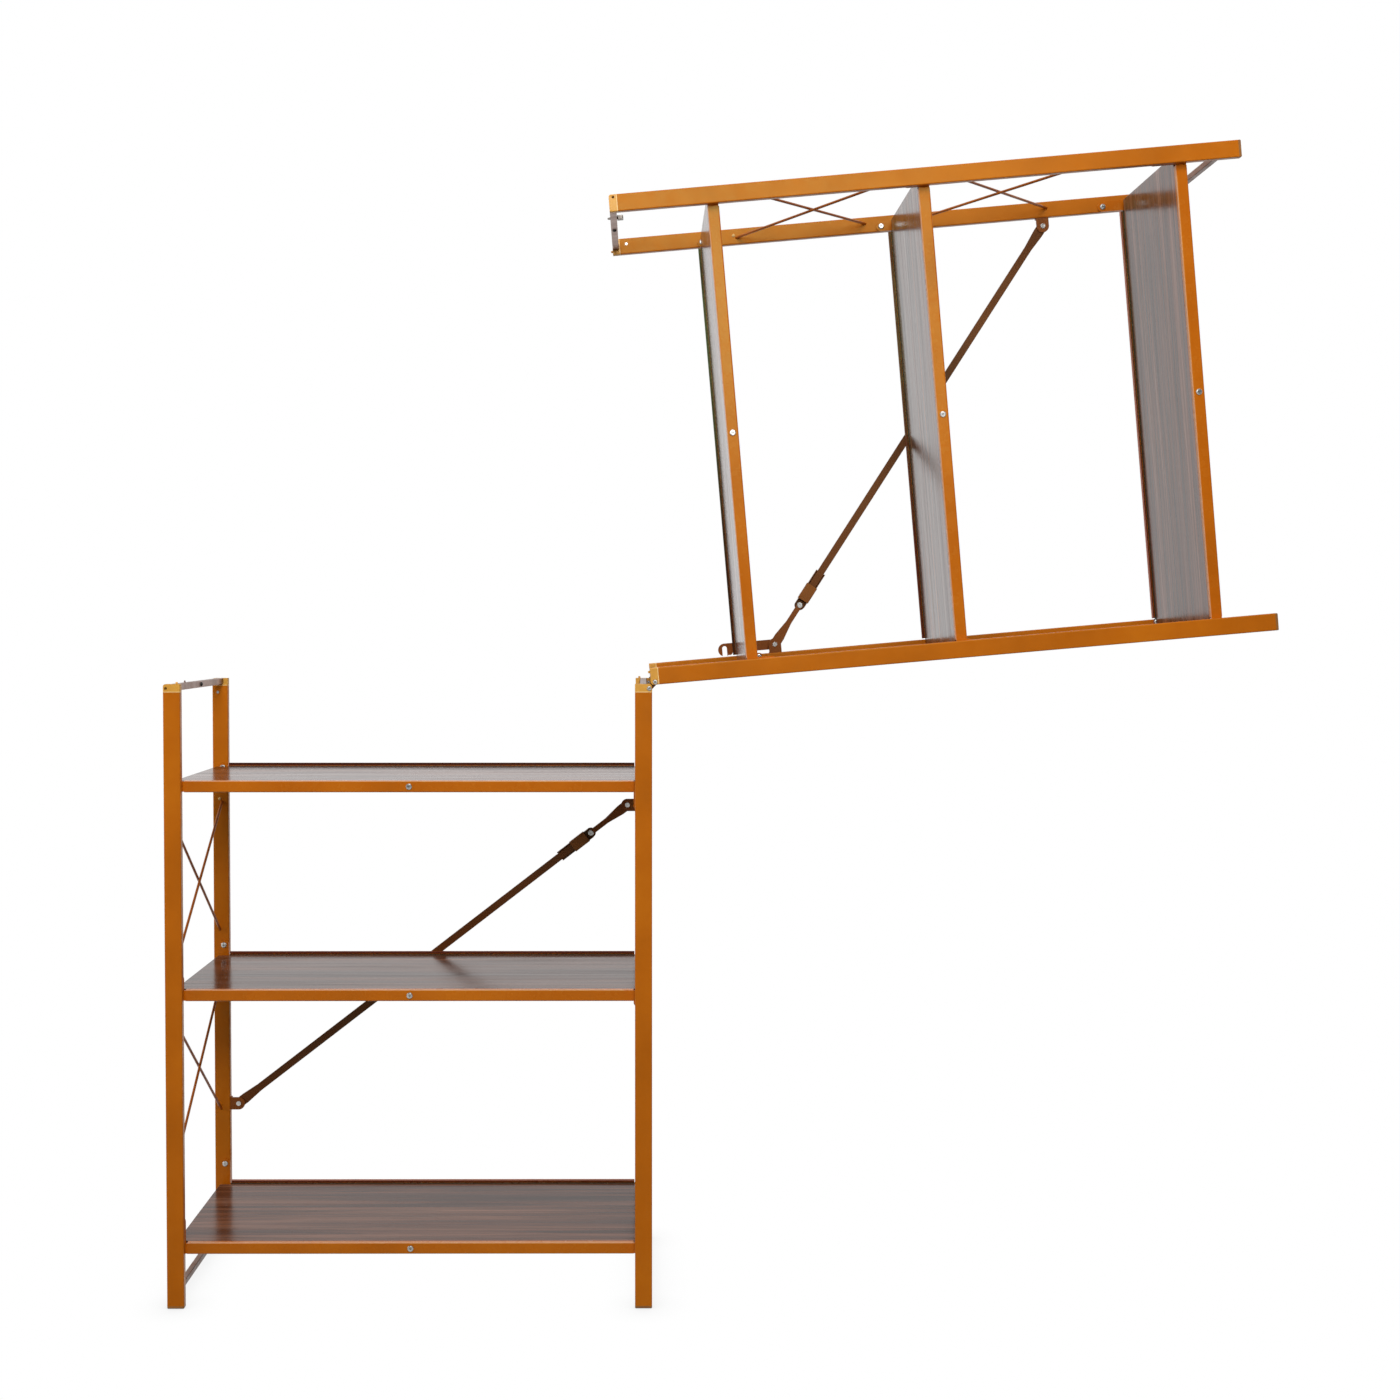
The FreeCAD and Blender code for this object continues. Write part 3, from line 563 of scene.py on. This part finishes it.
frame_paint = paint("amber_enamel", AMBER).material
rod_paint = paint("amber_rod_enamel", ROD_AMBER, SATIN, WARM_SHEEN).material
brace_paint = paint("bronze_enamel", BRONZE, MATT, WARM_SHEEN).material
light_brace_paint = paint("copper_enamel", COPPER, MATT, WARM_SHEEN).material
slide_paint = paint("bronze_slide_enamel", SLIDE_BRONZE, SATIN, WARM_SHEEN).material
zinc_plate = metal("bright_zinc", BRIGHT_ZINC, BRIGHT_METAL)
dull_zinc = metal("dull_zinc", DULL_ZINC, DULL_METAL)
black_steel = metal("black_steel", BLACK_STEEL, BLACK_METAL)
cream_enamel = paint("cream_enamel", CREAM).material

# Materials by the record's slot, and those of single nodes, which come first
SLOT_MATERIAL = {
    "frame_paint": frame_paint,
    "rod_paint": rod_paint,
    "brace_paint": brace_paint,
    "slide_paint": slide_paint,
    "zinc": zinc_plate,
}
NODE_MATERIAL = {
    "hinge_links": brace_paint,
    "storage_hook": light_brace_paint,
    "latch_plunger": dull_zinc,
}


def dress_frames(section, spot, up, cross):
    """Plastic, bars and brackets of a section's side frames, with the rod rivets and the bar screw."""
    foot_level = along_axis(up, spot(0.0, FOOT_TOP))
    cap_highlight = along_axis(up, spot(0.0, POST_HIGH.z))
    middle = along_axis(up, spot(0.0, (POST_LOW.z + POST_HIGH.z) / 2))
    plugs = plastic("tan_plastic_" + section, up, foot_level, cap_highlight)
    bars = cross_bars("bar_enamel_" + section, up, middle)
    for side, way in (("left", -1), ("right", 1)):
        part = section + "_" + side
        NODE_MATERIAL[part + "_end_plugs"] = plugs
        NODE_MATERIAL[part + "_cross_bars"] = bars
        NODE_MATERIAL[part + "_brace_bracket"] = light_brace_paint
        rivets = []
        for end in (-1, 1):
            rivets.append((spot(way * RIVET_X, RIVET_Z, end * POST_LOW.y), Vector((0.0, -end, 0.0))))
        turned(part + "_rod_rivets", RIVET_PROFILE, rivets, part + "_frame", cream_enamel)
    screw = [(spot(-BAR_LOW.x, BAR_HIGH.z - BAR_SCREW_DROP), cross)]
    turned(section + "_bar_screw", BAR_SCREW_PROFILE, screw, section + "_left_frame", black_steel)


def dress_shelves(section, spot, up, cross, wood):
    """Boards and rims of a section's three shelves."""
    left_end = along_axis(cross, spot(POST_HIGH.x + RIM_MARGIN, 0.0))
    for level in SHELF_LEVELS:
        shelf = section + "_" + level + "_shelf"
        board_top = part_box("lower_" + level + "_shelf_board")[1].z
        top = along_axis(up, spot(0.0, board_top + BOARD_DROP))
        NODE_MATERIAL[shelf + "_board"] = wood
        rim_name = "amber_rim_" + section + "_" + level
        # Each shelf's rear lip gets its own painted light and shade
        NODE_MATERIAL[shelf + "_rim"] = rim(rim_name, up, top, tuple(cross), left_end, LIP_TOP_LIGHT_SHADE[level])


def dress_section(section, spot, up, turn, index, tones):
    """Materials and fasteners of one section; spot places a point of a standing section on it."""
    cross = spot(1.0, 0.0) - spot(0.0, 0.0)
    dress_frames(section, spot, up, cross)
    dress_shelves(section, spot, up, cross, walnut("walnut_" + section, turn, index, tones))
    knee = spot(*knee_place())
    NODE_MATERIAL[section + "_lock_sleeve"] = sleeve("bronze_sleeve_" + section, tuple(knee))
    NODE_MATERIAL[section + "_short_strut"] = light_brace_paint


def dress_nodes():
    """Gives each CAD node its own material, or else the one of its slot."""
    for part in frame["record"]["subparts"]:
        name = part["node"]
        material = NODE_MATERIAL.get(name) or SLOT_MATERIAL[part["material_slot"]]
        for slot in frame["nodes"][name].material_slots:
            slot.material = material


def build_world():
    """White backdrop for the camera, a room darker behind it for reflections, and a soft sky as light."""
    world = bpy.data.worlds.new("studio")
    scene.world = world
    world.use_nodes = True
    world.node_tree.nodes.clear()
    nodes = Nodes(world.node_tree)
    split = nodes.add("ShaderNodeSeparateXYZ")
    nodes.join(nodes.add("ShaderNodeTexCoord").outputs["Generated"], split.inputs[0])
    room = nodes.spread(split.outputs["Y"], ROOM, 1.0, start=ROOM_START, end=ROOM_END, smooth=True)
    camera_ray = nodes.add("ShaderNodeLightPath").outputs["Is Camera Ray"]
    seen = nodes.add("ShaderNodeBackground")
    seen.inputs["Color"].default_value = WHITE
    nodes.join(nodes.maths("MAXIMUM", room, camera_ray), seen.inputs["Strength"])
    sky = nodes.spread(split.outputs["Z"], SKY_LOW, SKY_HIGH, start=-1.0, end=1.0)
    lit = nodes.add("ShaderNodeBackground")
    lit.inputs["Color"].default_value = SKY_TINT
    nodes.join(sky, lit.inputs["Strength"])
    out = nodes.add("ShaderNodeOutputWorld")
    nodes.join(nodes.ray_switch(seen.outputs[0], lit.outputs[0]), out.inputs["Surface"])


def floor_material():
    """White with contact shadows; clear to the camera and from below, so that no pose is hidden by it."""
    material = bpy.data.materials.new("floor_white")
    material.use_nodes = True
    material.node_tree.nodes.clear()
    nodes = Nodes(material.node_tree)
    tone = nodes.spread(nodes.occlusion(CONTACT_REACH), CONTACT_TONE, 1.0, start=0.0, end=1.0)
    mirrored = nodes.add("ShaderNodeEmission")
    nodes.join(tone, mirrored.inputs["Strength"])
    clear = nodes.add("ShaderNodeBsdfTransparent")
    nodes.join(tone, clear.inputs["Color"])
    camera_ray = nodes.add("ShaderNodeLightPath").outputs["Is Camera Ray"]
    seen = nodes.mix_shaders(camera_ray, mirrored.outputs[0], clear.outputs[0])
    lit = nodes.add("ShaderNodeBsdfDiffuse")
    lit.inputs["Color"].default_value = FLOOR_GREY
    above = nodes.ray_switch(seen, lit.outputs[0])
    below = nodes.add("ShaderNodeBsdfTransparent").outputs[0]
    underside = nodes.add("ShaderNodeNewGeometry").outputs["Backfacing"]
    out = nodes.add("ShaderNodeOutputMaterial")
    nodes.join(nodes.mix_shaders(underside, above, below), out.inputs["Surface"])
    return material


def build_floor():
    mesh = bpy.data.meshes.new("floor")
    reach = FLOOR_REACH
    corners = [(-reach, -reach, 0), (reach, -reach, 0), (reach, reach, 0), (-reach, reach, 0)]
    mesh.from_pydata(corners, [], [(0, 1, 2, 3)])
    mesh.materials.append(floor_material())
    floor = bpy.data.objects.new("floor", mesh)
    scene.collection.objects.link(floor)
    floor.location.z = -FLOOR_DROP


def area_light(name, place, aim, size, power, mirrored=True):
    data = bpy.data.lights.new(name, "AREA")
    data.shape = "RECTANGLE"
    data.size, data.size_y = size
    data.energy = power
    lamp = bpy.data.objects.new(name, data)
    lamp.location = place
    lamp.rotation_euler = (Vector(aim) - Vector(place)).to_track_quat("-Z", "Y").to_euler()
    lamp.visible_glossy = mirrored
    scene.collection.objects.link(lamp)


def build_lights():
    """Soft lamps above the camera, at the left and behind; the one behind stays out of reflections."""
    area_light("key", place=(0.4, -2.5, 3.3), aim=(0.4, 0.0, 1.1), size=(2.0, 1.2), power=50.0)
    area_light("front", place=(0.4, -3.0, 2.05), aim=(0.4, 0.0, 2.35), size=(1.8, 0.9), power=38.0)
    area_light(
        "rear", place=(0.4, 2.7, 3.1), aim=(0.4, 0.0, 1.0), size=(2.2, 1.2), power=28.0, mirrored=False,
    )
    area_light("fill", place=(-2.8, -0.6, 1.5), aim=(0.9, 0.0, 1.35), size=(1.6, 1.6), power=30.0)


def build_camera():
    """Camera at the photo's viewpoint, with the photo's focal length and principal point."""
    data = bpy.data.cameras.new("photo_camera")
    data.sensor_width = SENSOR_WIDTH
    data.sensor_fit = "HORIZONTAL"
    data.lens = FOCAL_LENGTH / PHOTO_SIZE * SENSOR_WIDTH
    data.shift_x = (PHOTO_SIZE / 2 - PRINCIPAL_X) / PHOTO_SIZE
    data.shift_y = -(PHOTO_SIZE / 2 - PRINCIPAL_Y) / PHOTO_SIZE
    data.clip_start = CLIP_NEAR
    data.clip_end = CLIP_FAR
    camera = bpy.data.objects.new("photo_camera", data)
    camera.location = CAMERA_PLACE
    camera.rotation_euler = (CAMERA_PITCH, 0.0, CAMERA_TURN)
    scene.collection.objects.link(camera)
    scene.camera = camera


dress_section("lower", standing, UP_LOWER, (0, 0, 0), LOWER_INDEX, LOWER_WALNUT)
dress_section("upper", swung, UP_UPPER, (0, -SWING, 0), UPPER_INDEX, UPPER_WALNUT_LIT)
dress_nodes()
build_world()
build_floor()
build_lights()
build_camera()
